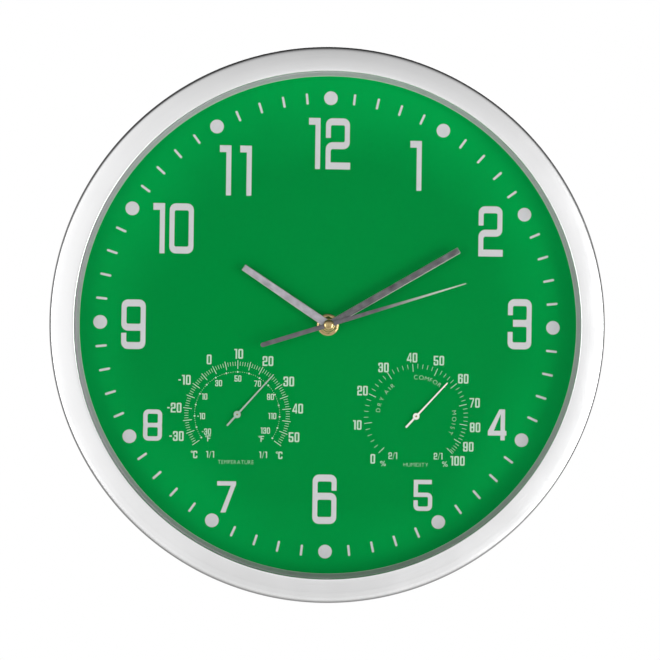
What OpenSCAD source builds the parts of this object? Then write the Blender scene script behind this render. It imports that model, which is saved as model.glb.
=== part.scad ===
// Round wall clock: spun metal bezel, flat glass, dial, quartz movement, and two
// small instruments set in the dial, a thermometer and a hygrometer.
// Millimetres. +Z is up and the front faces -Y. The origin is the middle of the
// hanging hole, in the wall plane. Depths are measured forward from the wall.

/* [Bezel] */
// Outside diameter of the bezel
bezel_d = 350; // [345:0.5:356]
// Diameter of the opening inside the bezel's lip
lip_d = 318.6; // [316:0.2:320]
// Distance from the wall to the front of the bezel
depth = 40; // [39:0.1:44]
// Thickness of the bezel's metal
bezel_t = 1.2; // [0.8:0.1:1.6]
// Radius of the outer front edge
edge_r = 2; // [1.4:0.1:3]
// How far the face falls back from the lip to the outer edge
face_drop = 1.2; // [0.4:0.1:2]

/* [Glass and dial] */
// Thickness of the glass
glass_t = 2; // [1.5:0.1:2.5]
// Diameter of the glass and of the dial
dial_d = 326; // [325:0.2:326.4]
// Thickness of the dial
dial_t = 0.8; // [0.5:0.1:1]
// Visible diameter of the dial inside the spacer ring
sight_d = 317; // [314:0.2:318]

/* [Case] */
// Outside diameter of the rear rim that stands on the wall
rim_d = 325; // [320:0.5:326]
// Width of the opening behind the movement
port_w = 64; // [60:0.5:72]
// Number of case screws
screws = 6; // [3:1:12]
// Radius of the circle of case screws
screw_ring = 169; // [168:0.1:170]

/* [Hanger] */
// Height of the hanging hole above the dial's centre
hang = 120; // [100:1:135]
// Radius of the hanging hole
hang_r = 4.5; // [4:0.1:5]
// Width of the slot above the hole
slot_w = 4.2; // [3.6:0.1:5]

/* [Movement] */
// Side of the square movement
move_w = 56; // [55:0.5:60]
// Radius of the threaded bush
bush_r = 4; // [3.9:0.05:4]
// Running clearance on each radius
run = 0.05; // [0.03:0.01:0.08]
// Diameter of the battery
cell_d = 14.2; // [13.8:0.1:14.4]

/* [Hands] */
// Length of the hour hand
hour_l = 65; // [50:0.5:75]
// Length of the minute hand
minute_l = 95.5; // [80:0.5:110]
// Length of the second hand
second_l = 91; // [80:0.5:120]
// Length of the second hand's tail
tail_l = 45; // [20:0.5:50]
// Hour hand's angle, clockwise from twelve
hour_a = 303.5; // [0:0.5:360]
// Minute hand's angle, clockwise from twelve
minute_a = 59.5; // [0:0.5:360]
// Second hand's angle, clockwise from twelve
second_a = 72.5; // [0:0.5:360]

/* [Instruments] */
// Distance of the instruments to each side of the dial's centre
side_x = 57; // [54:0.5:60]
// Distance of the instruments below the dial's centre
below = 57.6; // [54:0.1:60]
// Radius of an instrument's cup
cup_r = 21; // [18:0.5:24]
// Thermometer pointer's angle, clockwise from the top
thermo_a = 41.7; // [-120:0.1:120]
// Hygrometer pointer's angle, clockwise from the top
hygro_a = 42.5; // [-130:0.1:130]

/* [Hidden] */
$fn = 96;

bezel_r = bezel_d / 2;
lip_r = lip_d / 2;
dial_r = dial_d / 2;
sight_r = sight_d / 2;
glass_b = depth - 5.6;
glass_f = glass_b + glass_t;
dial_b = 22;
dial_f = dial_b + dial_t;
rim_r = rim_d / 2;
wall_t = 2.2;
step_r = 165.5;
flange_b = 3;
flange_t = 2.2;
floor_t = 2;
ret_b = 5.5;
ret_r = step_r + 0.5;

mv_f = 21.3;
mv_b = 4.8;
front_t = 1;
half = move_w / 2;
shell_t = 1.2;
bay_top = -10.4;
cell_z = -19;
cell_d0 = 12.9;
cell_l = 50.5;
posts = [[-23.5, -6.5], [23.5, -6.5], [-23.5, 11], [23.5, 11]];

// axes of the train, in front view, from the dial's centre
third_p = 9.0 * [cos(160), sin(160)];
motion_p = 9.6 * [cos(20), sin(20)];
inter_p = 7.0 * [cos(80), sin(80)];
rotor_p = inter_p + 5.28 * [cos(100), sin(100)];

hour_d = 28.4;
minute_d = 30.2;
second_d = 32.0;
hand_t = 0.5;

// ---------- drawing helpers ----------

// A front-view drawing, extruded from depth a to depth b.
module slab(a, b)
    translate([0, -a, 0])
        rotate([90, 0, 0])
            linear_extrude(b - a)
                children();

// A profile of radius and depth, turned about the Y axis.
module lathe()
    rotate([90, 0, 0])
        rotate_extrude($fn = 144)
            children();

module at(p)
    translate([p[0], 0, p[1]])
        children();

module disc(r, a, b)
    slab(a, b)
        circle(r);

module ring(r1, r2, a, b)
    slab(a, b)
        difference() {
            circle(r2);
            circle(r1);
        }

module clock()
    translate([0, 0, -hang])
        children();

// Turns a drawing clockwise, as the clock is read.
module turned(a)
    rotate([0, a, 0])
        children();

function arc(c, r, a, b, n) = [
    for (i = [0 : n]) c + r * [cos(a + (b - a) * i / n), sin(a + (b - a) * i / n)]
];

// A rectangle with rounded corners.
module rounded(w, h, r)
    polygon(concat(
        arc([w / 2 - r, h / 2 - r], r, 0, 90, 5),
        arc([r - w / 2, h / 2 - r], r, 90, 180, 5),
        arc([r - w / 2, r - h / 2], r, 180, 270, 5),
        arc([w / 2 - r, r - h / 2], r, 270, 360, 5)
    ));

// ---------- gears ----------

function inv(x) = tan(x) * 180 / PI - x;

// Half of the angle a tooth spans at radius q.
function half_angle(n, m, q, share) =
    let (p = n * m / 2, b = p * cos(20), u = max(q, b))
    share * 180 / n + inv(20) - inv(acos(b / u));

function tooth(n, m, share, add, ded, k) =
    let (
        p = n * m / 2,
        lo = p - ded * m,
        hi = p + add * m,
        steps = [0, 0.35, 0.55, 0.7, 0.85, 1],
        c = 360 * k / n
    )
    concat(
        [for (s = steps)
            let (q = lo + s * (hi - lo), h = half_angle(n, m, q, share))
            q * [cos(c - h), sin(c - h)]],
        [for (i = [len(steps) - 1 : -1 : 0])
            let (
                q = lo + steps[i] * (hi - lo),
                h = half_angle(n, m, q, share)
            )
            q * [cos(c + h), sin(c + h)]]
    );

module gear2d(n, m, phase)
    rotate(phase)
        polygon([
            for (k = [0 : n - 1])
                each tooth(n, m, 0.38, 0.55, 1.05, k)
        ]);

// Phase that puts gear b in mesh with gear a, which lies in direction t from a to b.
function mesh(t, a0, na, nb) = t + 180 + (t - a0) * na / nb + 180 / nb;

function angle(v) = atan2(v[1], v[0]);

second_ph = -second_a;
third_ph2 = 0;
inter_ph2 = 0;
motion_ph2 = 0;
cannon_ph = -minute_a;
third_ph = mesh(angle(third_p), second_ph, 8, 64);
centre_ph = mesh(angle(third_p) + 180, third_ph2, 8, 60);
inter_ph = mesh(angle(inter_p), second_ph, 48, 8);
rotor_ph = mesh(angle(rotor_p - inter_p), inter_ph2, 40, 8);
motion_ph = mesh(angle(motion_p), cannon_ph, 12, 36);
hour_ph = mesh(angle(motion_p) + 180, motion_ph2, 10, 40);

// ---------- bezel, glass and dial ----------

function bezel_line() = concat(
    [[ret_r, ret_b], [bezel_r, ret_b]],
    arc([bezel_r - edge_r, depth - face_drop - edge_r], edge_r, 0, 84, 7),
    arc([lip_r + 0.8, depth - 0.8], 0.8, 86, 180, 6),
    [
        [lip_r, glass_f + 0.3],
        [lip_r + bezel_t, glass_f + 0.3],
        [lip_r + bezel_t, depth - bezel_t - 0.1],
        [bezel_r - edge_r, depth - face_drop - bezel_t],
        [bezel_r - bezel_t, depth - face_drop - edge_r],
        [bezel_r - bezel_t, ret_b + bezel_t],
        [ret_r, ret_b + bezel_t]
    ]
);

module bezel()
    clock()
        color("silver")
            difference() {
                lathe()
                    polygon(bezel_line());
                for (i = [0 : screws - 1])
                    turned((i + 0.5) * 360 / screws)
                        at([screw_ring, 0])
                            disc(1.45, ret_b - 1, ret_b + bezel_t + 1);
            }

module glass()
    clock()
        color("lightblue", 0.3)
            slab(glass_b, glass_f)
                circle(dial_r, $fn = 180);

module spacer_ring()
    clock()
        color("gainsboro")
            lathe()
                polygon([
                    [sight_r, dial_f + 0.3],
                    [dial_r - 0.2, dial_f + 0.3],
                    [dial_r - 0.2, glass_b - 0.3],
                    [lip_r + 0.4, glass_b - 0.3],
                    [lip_r + 0.2, glass_b - 0.7]
                ]);

module dial()
    clock()
        color("green")
            slab(dial_b, dial_f)
                difference() {
                    circle(dial_r, $fn = 180);
                    circle(bush_r + 0.1);
                    for (s = [-1, 1])
                        translate([s * side_x, -below])
                            circle(1.5);
                }

// ---------- case and hanger ----------

module vent_slots()
    for (i = [-2 : 2])
        translate([i * 6, 0])
            rounded(2.4, 26 - 4 * abs(i), 1.2);

module case_shell()
    lathe()
        polygon([
            [0, flange_b],
            [rim_r - wall_t, flange_b],
            [rim_r - wall_t, 0],
            [rim_r, 0],
            [rim_r, flange_b],
            [bezel_r - 2.5, flange_b],
            [bezel_r - 2.5, flange_b + flange_t],
            [rim_r, flange_b + flange_t],
            [rim_r, dial_b - 2.5],
            [step_r, dial_b - 2.5],
            [step_r, glass_f + 0.1],
            [dial_r + 0.3, glass_f + 0.1],
            [dial_r + 0.3, dial_b - 0.3],
            [rim_r - wall_t, dial_b - 0.3],
            [rim_r - wall_t, flange_b + floor_t],
            [0, flange_b + floor_t]
        ]);

// Boss that carries the hanger plate, with a cup behind the hole for the hook.
module hanger_boss()
    at([0, hang]) {
        slab(1.7, flange_b + 0.5)
            rounded(48, 38, 4);
        slab(flange_b + 0.5, 14)
            translate([0, 3])
                rounded(23, 29, 4.5);
        for (s = [-1, 1])
            at([s * 18, 0])
                disc(3, flange_b + 0.5, 11);
    }

module back_case()
    clock()
        color("dimgray")
            difference() {
                union() {
                    case_shell();
                    hanger_boss();
                }
                for (i = [0 : screws - 1])
                    turned((i + 0.5) * 360 / screws)
                        at([screw_ring, 0])
                            disc(1.7, 1, 8);
                slab(0, 8)
                    rounded(port_w, port_w, 5);
                for (s = [-1, 1])
                    at([s * side_x, -below])
                        slab(0, 8)
                            vent_slots();
                at([0, hang])
                    slab(0, 12.4)
                        translate([0, 3])
                            rounded(20, 26, 3);
                for (s = [-1, 1])
                    at([s * 18, hang])
                        disc(1.15, 0, 10);
            }

module case_screws()
    clock()
        color("lightgray")
            for (i = [0 : screws - 1])
                turned((i + 0.5) * 360 / screws)
                    at([screw_ring, 0])
                        difference() {
                            union() {
                                disc(2.8, 1.1, 2.9);
                                disc(1.4, 2.8, 8.6);
                            }
                            slab(1, 2)
                                rounded(3, 0.7, 0.3);
                            slab(1, 2)
                                rounded(0.7, 3, 0.3);
                        }

module hanger_plate()
    color("silver")
        difference() {
            slab(0, 1.6)
                rounded(46, 36, 3);
            disc(hang_r, -1, 3);
            slab(-1, 3)
                translate([-slot_w / 2, 0])
                    square([slot_w, hang_r + 6]);
            at([0, hang_r + 6])
                disc(slot_w / 2, -1, 3);
            for (s = [-1, 1])
                at([s * 18, 0])
                    lathe()
                        polygon([[0, -1], [2.5, -1], [2.5, 0], [1.25, 1.25], [1.25, 3], [0, 3]]);
        }

module hanger_screws()
    color("lightgray")
        for (s = [-1, 1])
            at([s * 18, 0])
                difference() {
                    lathe()
                        polygon([[0, 0.1], [2.3, 0.1], [1.1, 1.3], [1.1, 9.5], [0, 9.5]]);
                    slab(0, 0.8)
                        rounded(2.4, 0.5, 0.2);
                    slab(0, 0.8)
                        rounded(0.5, 2.4, 0.2);
                }

// ---------- movement, fixed pieces ----------

module movement_case()
    clock()
        color("black") {
            difference() {
                slab(mv_b, mv_f)
                    rounded(move_w, move_w, 4);
                slab(mv_b - 1, mv_f - front_t)
                    rounded(move_w - 2 * shell_t, move_w - 2 * shell_t, 2.8);
                slab(mv_b - 1, mv_b + 1.1)
                    translate([-half - 1, bay_top])
                        square([move_w + 2, move_w]);
                disc(bush_r + 0.03, mv_f - 2, mv_f + 1);
            }
            // wall between the train and the battery
            slab(mv_b + 1.15, mv_f - front_t + 0.1)
                translate([-25.4, bay_top - 1])
                    square([50.8, 1]);
            for (p = posts)
                at(p)
                    lathe()
                        polygon([
                            [0.85, mv_b + 1.15], [1.3, mv_b + 1.15],
                            [1.3, 7.25], [1.6, 7.25],
                            [1.6, 13.45], [1.9, 13.45],
                            [1.9, 17.4], [2.2, 17.4],
                            [2.2, mv_f - front_t + 0.1], [0.85, mv_f - front_t + 0.1]
                        ]);
        }

module movement_cover()
    clock()
        color("gray")
            slab(mv_b, mv_b + 1)
                difference() {
                    intersection() {
                        rounded(move_w, move_w, 4);
                        translate([-half, bay_top + 0.1])
                            square([move_w, move_w]);
                    }
                    translate(motion_p)
                        circle(1.1);
                    for (p = posts)
                        translate(p)
                            circle(0.95);
                }

module movement_screws()
    clock()
        color("lightgray")
            for (p = posts)
                at(p)
                    difference() {
                        union() {
                            disc(1.9, 3.7, 4.7);
                            disc(0.8, 4.6, 13);
                        }
                        slab(3.6, 4.2)
                            rounded(2, 0.5, 0.2);
                        slab(3.6, 4.2)
                            rounded(0.5, 2, 0.2);
                    }

// A train plate, with a hole at each post and a bearing hole for each arbor.
module plate(a, b, post_r, holes)
    clock()
        color("tan")
            slab(a, b)
                difference() {
                    translate([-25.5, -9.4])
                        square([51, 23]);
                    for (p = posts)
                        translate(p)
                            circle(post_r);
                    for (h = holes)
                        translate(h[0])
                            circle(h[1]);
                }

module train_plate_rear()
    plate(6.4, 7.2, 1.35, [
        [[0, 0], 0.35 + run], [third_p, 0.4 + run], [inter_p, 0.4 + run],
        [rotor_p, 0.35 + run], [motion_p, 0.9 + run]
    ]);

module train_plate_middle()
    plate(12.95, 13.4, 1.65, [
        [[0, 0], 0.55 + run], [third_p, 1], [inter_p, 0.4 + run],
        [rotor_p, 0.35 + run], [motion_p, 1.2]
    ]);

module train_plate_front()
    plate(16.85, 17.35, 1.95, [
        [[0, 0], 1.2 + run], [third_p, 0.4 + run], [motion_p, 0.9 + run]
    ]);

module threaded_bush()
    clock()
        color("goldenrod")
            ring(2.6 + run, bush_r, mv_f - front_t, 25.8);

module rubber_washer()
    clock()
        color("black")
            ring(bush_r + 0.1, 9, mv_f + 0.05, dial_b - 0.05);

module brass_washer()
    clock()
        color("goldenrod")
            ring(bush_r + 0.05, 6.95, dial_f + 0.05, dial_f + 0.5);

module dial_nut()
    clock()
        color("goldenrod")
            difference() {
                slab(dial_f + 0.55, dial_f + 2.2)
                    rotate(12)
                        circle(5.8, $fn = 6);
                disc(bush_r + 0.03, 20, 30);
            }

module stator()
    clock()
        color("slategray")
            slab(8.1, 8.9)
                difference() {
                    translate([-17, 8.6])
                        square([34, 14.6]);
                    translate([-13.7, 16.6])
                        square([27.4, 8]);
                    translate(rotor_p)
                        circle(2.7);
                }

module coil_core()
    clock()
        color("slategray")
            translate([-17, -10.2, 19.8])
                cube([34, 1.2, 2.4]);

module along_x(x0, x1, r)
    translate([x0, -9.6, 21])
        rotate([0, 90, 0])
            cylinder(h = x1 - x0, r = r);

module coil_bobbin()
    clock()
        color("white")
            difference() {
                union() {
                    along_x(-13, 13, 2);
                    along_x(-13, -12, 3.5);
                    along_x(12, 13, 3.5);
                }
                translate([-14, -10.3, 19.7])
                    cube([28, 1.4, 2.6]);
            }

module coil_winding()
    clock()
        color("chocolate")
            difference() {
                along_x(-11.9, 11.9, 3.2);
                along_x(-13, 13, 2.05);
            }

module circuit_board()
    clock()
        color("darkgreen")
            slab(13.9, 14.7)
                translate([-24.5, 14])
                    square([49, 12.4]);

module quartz_crystal()
    clock()
        color("silver")
            translate([-18, -15.8, 17])
                rotate([0, 90, 0])
                    cylinder(h = 6.2, r = 1);

module clock_chip()
    clock()
        color("black")
            at([4, 19])
                lathe()
                    polygon([[0, 14.75], [3.4, 14.75], [3.2, 15.2], [2, 15.8], [0, 16]]);

module contact(s)
    clock()
        color("silver")
            scale([s, 1, 1]) {
                translate([25.95, -16, -23])
                    cube([0.3, 6.5, 38]);
                translate([25.55, -cell_d0, cell_z])
                    rotate([0, 90, 0])
                        cylinder(h = 0.5, r = 2.2);
            }

module contact_positive()
    contact(1);

module contact_negative()
    contact(-1);

// ---------- movement, moving pieces ----------

module rotor_magnet()
    clock()
        color("dimgray")
            at(rotor_p)
                ring(0.37, 2.3, 7.7, 9.2);

module rotor_pinion()
    clock()
        color("white")
            at(rotor_p) {
                slab(9.6, 11.2)
                    gear2d(8, 0.22, rotor_ph);
                disc(0.35, 6.35, 13.3);
            }

module intermediate_wheel()
    clock()
        color("white")
            at(inter_p) {
                slab(10, 10.8)
                    gear2d(40, 0.22, inter_ph2);
                slab(10.7, 12.8)
                    gear2d(8, 0.25, inter_ph);
                disc(0.4, 6.35, 13.3);
            }

module second_wheel()
    clock()
        color("white") {
            slab(11.8, 12.5)
                gear2d(48, 0.25, second_ph);
            slab(13.5, 15)
                gear2d(8, 0.25, second_ph);
            disc(0.55, 11, 32.9);
            disc(0.35, 6.35, 11.1);
        }

module third_wheel()
    clock()
        color("white")
            at(third_p) {
                slab(13.8, 14.6)
                    gear2d(64, 0.25, third_ph);
                slab(14.5, 16.6)
                    gear2d(8, 9 / 34, third_ph2);
                disc(0.4, 6.35, 17.3);
            }

module centre_wheel()
    clock()
        color("white")
            difference() {
                union() {
                    slab(15.6, 16.4)
                        gear2d(60, 9 / 34, centre_ph);
                    disc(1.2, 15.3, 17.25);
                }
                disc(0.55 + run, 14, 18);
            }

module minute_arbor()
    clock()
        color("goldenrod")
            difference() {
                union() {
                    slab(17.55, 18.5)
                        gear2d(12, 0.4, cannon_ph);
                    disc(1.75, 17.55, 31.1);
                }
                disc(0.55 + run, 17, 32);
            }

module minute_wheel()
    clock()
        color("white")
            at(motion_p) {
                slab(17.6, 18.4)
                    gear2d(36, 0.4, motion_ph);
                slab(18.3, 20.1)
                    gear2d(10, 0.384, motion_ph2);
                disc(0.9, 3.4, 18);
            }

module hour_wheel()
    clock()
        color("white")
            difference() {
                union() {
                    slab(18.8, 19.7)
                        gear2d(40, 0.384, hour_ph);
                    disc(2.6, 18.8, 29.3);
                }
                disc(1.75 + run, 18, 31);
            }

module setting_knob()
    clock()
        color("white")
            at(motion_p)
                difference() {
                    slab(2.2, 4.35)
                        difference() {
                            circle(6);
                            for (i = [0 : 23])
                                rotate(i * 15)
                                    translate([6.1, 0])
                                        circle(0.4, $fn = 24);
                        }
                    disc(0.92, 3.3, 5);
                }

// ---------- hands ----------

module hour_hand()
    clock()
        color("silver")
            turned(hour_a)
                difference() {
                    union() {
                        slab(hour_d, hour_d + hand_t)
                            polygon([
                                [-2.65, 0], [2.65, 0], [2.15, hour_l], [-2.15, hour_l]
                            ]);
                        disc(4.6, hour_d, hour_d + hand_t);
                        disc(3.4, hour_d - 1.4, hour_d + 0.1);
                    }
                    disc(2.62, 20, 31);
                }

module minute_hand()
    clock()
        color("silver")
            turned(minute_a)
                difference() {
                    union() {
                        slab(minute_d, minute_d + hand_t)
                            polygon([
                                [-2.3, 0], [2.3, 0], [2.05, minute_l], [-2.05, minute_l]
                            ]);
                        disc(3.9, minute_d, minute_d + hand_t);
                    }
                    disc(1.77, 28, 32);
                }

module second_hand()
    clock()
        color("silver")
            turned(second_a)
                difference() {
                    union() {
                        slab(second_d, second_d + 0.4)
                            polygon([
                                [-1.35, -tail_l + 1.35], [1.35, -tail_l + 1.35],
                                [1.35, 6], [0.3, second_l], [-0.3, second_l], [-1.35, 6]
                            ]);
                        slab(second_d, second_d + 0.4)
                            translate([0, -tail_l + 1.35])
                                circle(1.35);
                        disc(2.6, second_d, second_d + 0.4);
                    }
                    disc(0.57, 30, 34);
                }

module second_cap()
    clock()
        color("goldenrod")
            difference() {
                lathe()
                    polygon(concat(
                        [[0, second_d + 0.45], [3.2, second_d + 0.45]],
                        arc([0, second_d - 2.6], 4.54, 45, 88, 6),
                        [[0, second_d + 1.94]]
                    ));
                disc(0.57, 30, 33.2);
            }

// ---------- battery ----------

module cell_x(x0, x1, r)
    translate([x0, -cell_d0, cell_z])
        rotate([0, 90, 0])
            cylinder(h = x1 - x0, r = r);

module battery_cell()
    clock()
        color("silver") {
            cell_x(-cell_l / 2, cell_l / 2 - 1.4, cell_d / 2 - 0.2);
            cell_x(cell_l / 2 - 1.5, cell_l / 2, 2.7);
        }

module battery_sleeve()
    clock()
        color("darkorange")
            difference() {
                cell_x(-cell_l / 2 + 0.2, cell_l / 2 - 1.6, cell_d / 2);
                cell_x(-cell_l, cell_l, cell_d / 2 - 0.17);
            }

// ---------- instruments ----------

module cup(x)
    clock()
        color("silver")
            at([x, -below])
                difference() {
                    union() {
                        difference() {
                            disc(cup_r, dial_b - 8, dial_b - 0.1);
                            disc(cup_r - 0.6, dial_b - 7.4, dial_b + 1);
                        }
                        disc(2, dial_b - 7.5, dial_b - 5.5);
                        // post that holds the outer end of the coil
                        at([16.2, 0])
                            disc(0.8, dial_b - 7.5, dial_b - 3);
                        // bridge under the dial
                        slab(dial_b - 1.6, dial_b - 0.7)
                            difference() {
                                square([2 * cup_r - 0.6, 4], center = true);
                                circle(0.6 + run);
                            }
                    }
                    disc(0.6 + run, dial_b - 7, dial_b + 1);
                    for (i = [0 : 7])
                        rotate([0, i * 45 + 22.5, 0])
                            at([12, 0])
                                disc(2.2, dial_b - 9, dial_b - 7);
                }

// A flat spiral strip from radius r0 to radius r1.
module spiral(x, r0, r1, turns, w)
    clock()
        at([x, -below])
            slab(dial_b - 5.2, dial_b - 2.6)
                polygon(concat(
                    [for (i = [0 : 24 * turns])
                        (r0 + (r1 - r0) * i / 24 / turns) * [cos(15 * i), sin(15 * i)]],
                    [for (i = [24 * turns : -1 : 0])
                        (r0 + w + (r1 - r0) * i / 24 / turns) * [cos(15 * i), sin(15 * i)]]
                ));

module arbor(x)
    clock()
        color("goldenrod")
            at([x, -below]) {
                disc(0.6, dial_b - 6.9, dial_f + 1.9);
                disc(1.6, dial_b - 5.1, dial_b - 2.7);
            }

module pointer(x, a, len, tail, hub)
    clock()
        color("white")
            at([x, -below])
                turned(a)
                    difference() {
                        union() {
                            slab(dial_f + 1.3, dial_f + 1.6)
                                polygon([
                                    [-0.6, -tail], [0.6, -tail], [0.55, 0],
                                    [0.38, len], [-0.38, len], [-0.55, 0]
                                ]);
                            disc(hub, dial_f + 1.3, dial_f + 1.6);
                            disc(1.2, dial_f + 0.6, dial_f + 1.4);
                        }
                        disc(0.62, dial_b, dial_f + 4);
                    }

module thermometer_cup()
    cup(-side_x);

module thermometer_coil()
    color("goldenrod")
        spiral(-side_x, 1.9, 14.8, 4, 0.4);

module thermometer_arbor()
    arbor(-side_x);

module thermometer_pointer()
    pointer(-side_x, thermo_a, 33, 9.5, 2.25);

module hygrometer_cup()
    cup(side_x);

module hygrometer_coil()
    color("tan")
        spiral(side_x, 1.9, 14.8, 5, 0.5);

module hygrometer_arbor()
    arbor(side_x);

module hygrometer_pointer()
    pointer(side_x, hygro_a, 29.3, 9.7, 2.1);

// ---------- nodes ----------

bezel();
glass();
spacer_ring();
dial();
back_case();
case_screws();
hanger_plate();
hanger_screws();
movement_case();
movement_cover();
movement_screws();
train_plate_rear();
train_plate_middle();
train_plate_front();
threaded_bush();
rubber_washer();
brass_washer();
dial_nut();
stator();
coil_core();
coil_bobbin();
coil_winding();
circuit_board();
quartz_crystal();
clock_chip();
contact_positive();
contact_negative();
rotor_magnet();
rotor_pinion();
intermediate_wheel();
second_wheel();
third_wheel();
centre_wheel();
minute_arbor();
minute_wheel();
hour_wheel();
setting_knob();
hour_hand();
minute_hand();
second_hand();
second_cap();
battery_cell();
battery_sleeve();
thermometer_cup();
thermometer_coil();
thermometer_arbor();
thermometer_pointer();
hygrometer_cup();
hygrometer_coil();
hygrometer_arbor();
hygrometer_pointer();
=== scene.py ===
"""Looks for the round wall clock: finishes, dial print, hands and studio."""
import bmesh
import bpy
from math import cos, sin, pi, radians, sqrt
from mathutils import Vector, Matrix
from mathutils.geometry import delaunay_2d_cdt


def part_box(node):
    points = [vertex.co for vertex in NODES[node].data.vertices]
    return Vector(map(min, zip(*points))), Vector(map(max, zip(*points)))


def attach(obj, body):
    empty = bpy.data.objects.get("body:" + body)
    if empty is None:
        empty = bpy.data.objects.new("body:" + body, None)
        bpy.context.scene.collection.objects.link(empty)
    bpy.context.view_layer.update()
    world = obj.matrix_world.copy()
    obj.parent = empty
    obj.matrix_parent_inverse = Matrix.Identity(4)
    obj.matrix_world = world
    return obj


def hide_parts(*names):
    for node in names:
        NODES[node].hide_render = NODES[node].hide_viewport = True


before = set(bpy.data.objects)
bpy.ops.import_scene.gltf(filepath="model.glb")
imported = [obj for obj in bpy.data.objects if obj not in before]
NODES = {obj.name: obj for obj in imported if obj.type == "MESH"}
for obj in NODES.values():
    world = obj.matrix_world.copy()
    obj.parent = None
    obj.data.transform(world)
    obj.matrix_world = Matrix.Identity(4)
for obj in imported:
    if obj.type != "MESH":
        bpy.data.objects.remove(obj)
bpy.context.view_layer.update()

MM = 0.001
HANG = 120.0          # the hanging hole, the origin, is this far above the dial's centre
scene = bpy.context.scene


def depth_of(node, front=True):
    """Distance of a node's front or back face from the wall, in mm."""
    lo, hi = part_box(node)
    return (-lo[1] if front else -hi[1]) / MM


D_DIAL = depth_of("dial")
D_FRONT = depth_of("bezel")
D_HOUR = depth_of("hour_hand")
D_MINUTE = depth_of("minute_hand")
D_SECOND = depth_of("second_hand")
R_BEZEL = (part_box("bezel")[1][0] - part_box("bezel")[0][0]) / 2 / MM
R_LIP = 159.3         # inner edge of the bezel's lip
R_SIGHT = 158.5       # the round of dial that can be seen
R_RETURN = 166.0      # inner edge of the bezel's rear flange
BEZEL_WALL = 1.2
BEZEL_ROLL = 2.0      # radius of the bezel's rolled front edge
PRINT_R = 144.3       # circle of the hour dots and minute dashes
INK_LIFT = 0.04       # thickness of the dial print
CREASE = 35           # turned pieces are smooth up to this angle between faces


def at(x, z, d):
    """A point from its place on the dial and its distance from the wall, in mm."""
    return (x * MM, -d * MM, (z - HANG) * MM)


# ------------------------------------------------------------------ materials

def nodes_of(name):
    m = bpy.data.materials.new(name)
    m.use_nodes = True
    nt = m.node_tree
    bsdf = nt.nodes["Principled BSDF"]
    return m, nt, bsdf


def link(nt, a, b):
    nt.links.new(a, b)


def node(nt, kind, **props):
    n = nt.nodes.new(kind)
    for k, v in props.items():
        setattr(n, k, v)
    return n


def value(n, key, v):
    n.inputs[key].default_value = v


def noise(nt, vec, scale, detail=3.0, rough=0.5):
    n = node(nt, "ShaderNodeTexNoise")
    value(n, "Scale", scale)
    value(n, "Detail", detail)
    value(n, "Roughness", rough)
    link(nt, vec, n.inputs["Vector"])
    return n.outputs["Fac"]


def ramp(nt, fac, stops):
    r = node(nt, "ShaderNodeValToRGB")
    el = r.color_ramp.elements
    el[0].position, el[0].color = stops[0][0], (*stops[0][1], 1)
    el[1].position, el[1].color = stops[-1][0], (*stops[-1][1], 1)
    for p, c in stops[1:-1]:
        e = el.new(p)
        e.color = (*c, 1)
    link(nt, fac, r.inputs["Fac"])
    return r.outputs["Color"]


def remap(nt, fac, lo, hi, a=0.0, b=1.0):
    r = node(nt, "ShaderNodeMapRange")
    value(r, "From Min", a)
    value(r, "From Max", b)
    value(r, "To Min", lo)
    value(r, "To Max", hi)
    link(nt, fac, r.inputs["Value"])
    return r.outputs["Result"]


def maths(nt, op, a, b=None):
    n = node(nt, "ShaderNodeMath", operation=op)
    for i, v in enumerate((a, b)):
        if v is None:
            continue
        if isinstance(v, (int, float)):
            n.inputs[i].default_value = v
        else:
            link(nt, v, n.inputs[i])
    return n.outputs[0]


def bump(nt, bsdf, height, strength, distance=0.0002):
    b = node(nt, "ShaderNodeBump")
    value(b, "Strength", strength)
    value(b, "Distance", distance)
    link(nt, height, b.inputs["Height"])
    link(nt, b.outputs["Normal"], bsdf.inputs["Normal"])


def tint(c, k):
    return tuple(min(1.0, v * k) for v in c)


def finish(name, color, rough=0.5, metal=0.0, spec=0.5, vary=0.08, grain=900.0, bumps=0.15,
           spread=0.08, stretch=(1, 1, 1), coat=0.0):
    """A plain finish with fine grain, gentle colour drift and uneven gloss."""
    m, nt, bsdf = nodes_of(name)
    tc = node(nt, "ShaderNodeTexCoord")
    mp = node(nt, "ShaderNodeMapping")
    mp.inputs["Scale"].default_value = stretch
    link(nt, tc.outputs["Object"], mp.inputs["Vector"])
    vec = mp.outputs["Vector"]
    broad = noise(nt, vec, grain * 0.03, 3)
    fine = noise(nt, vec, grain, 2)
    both = maths(nt, "ADD", maths(nt, "MULTIPLY", broad, 0.65), maths(nt, "MULTIPLY", fine, 0.35))
    col = ramp(nt, both, [(0.3, tint(color, 1 - vary)), (0.7, tint(color, 1 + vary))])
    link(nt, col, bsdf.inputs["Base Color"])
    link(nt, remap(nt, both, rough - spread, rough + spread, 0.3, 0.7), bsdf.inputs["Roughness"])
    value(bsdf, "Metallic", metal)
    value(bsdf, "Specular IOR Level", spec)
    value(bsdf, "Coat Weight", coat)
    bump(nt, bsdf, fine, bumps)
    return m


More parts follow.
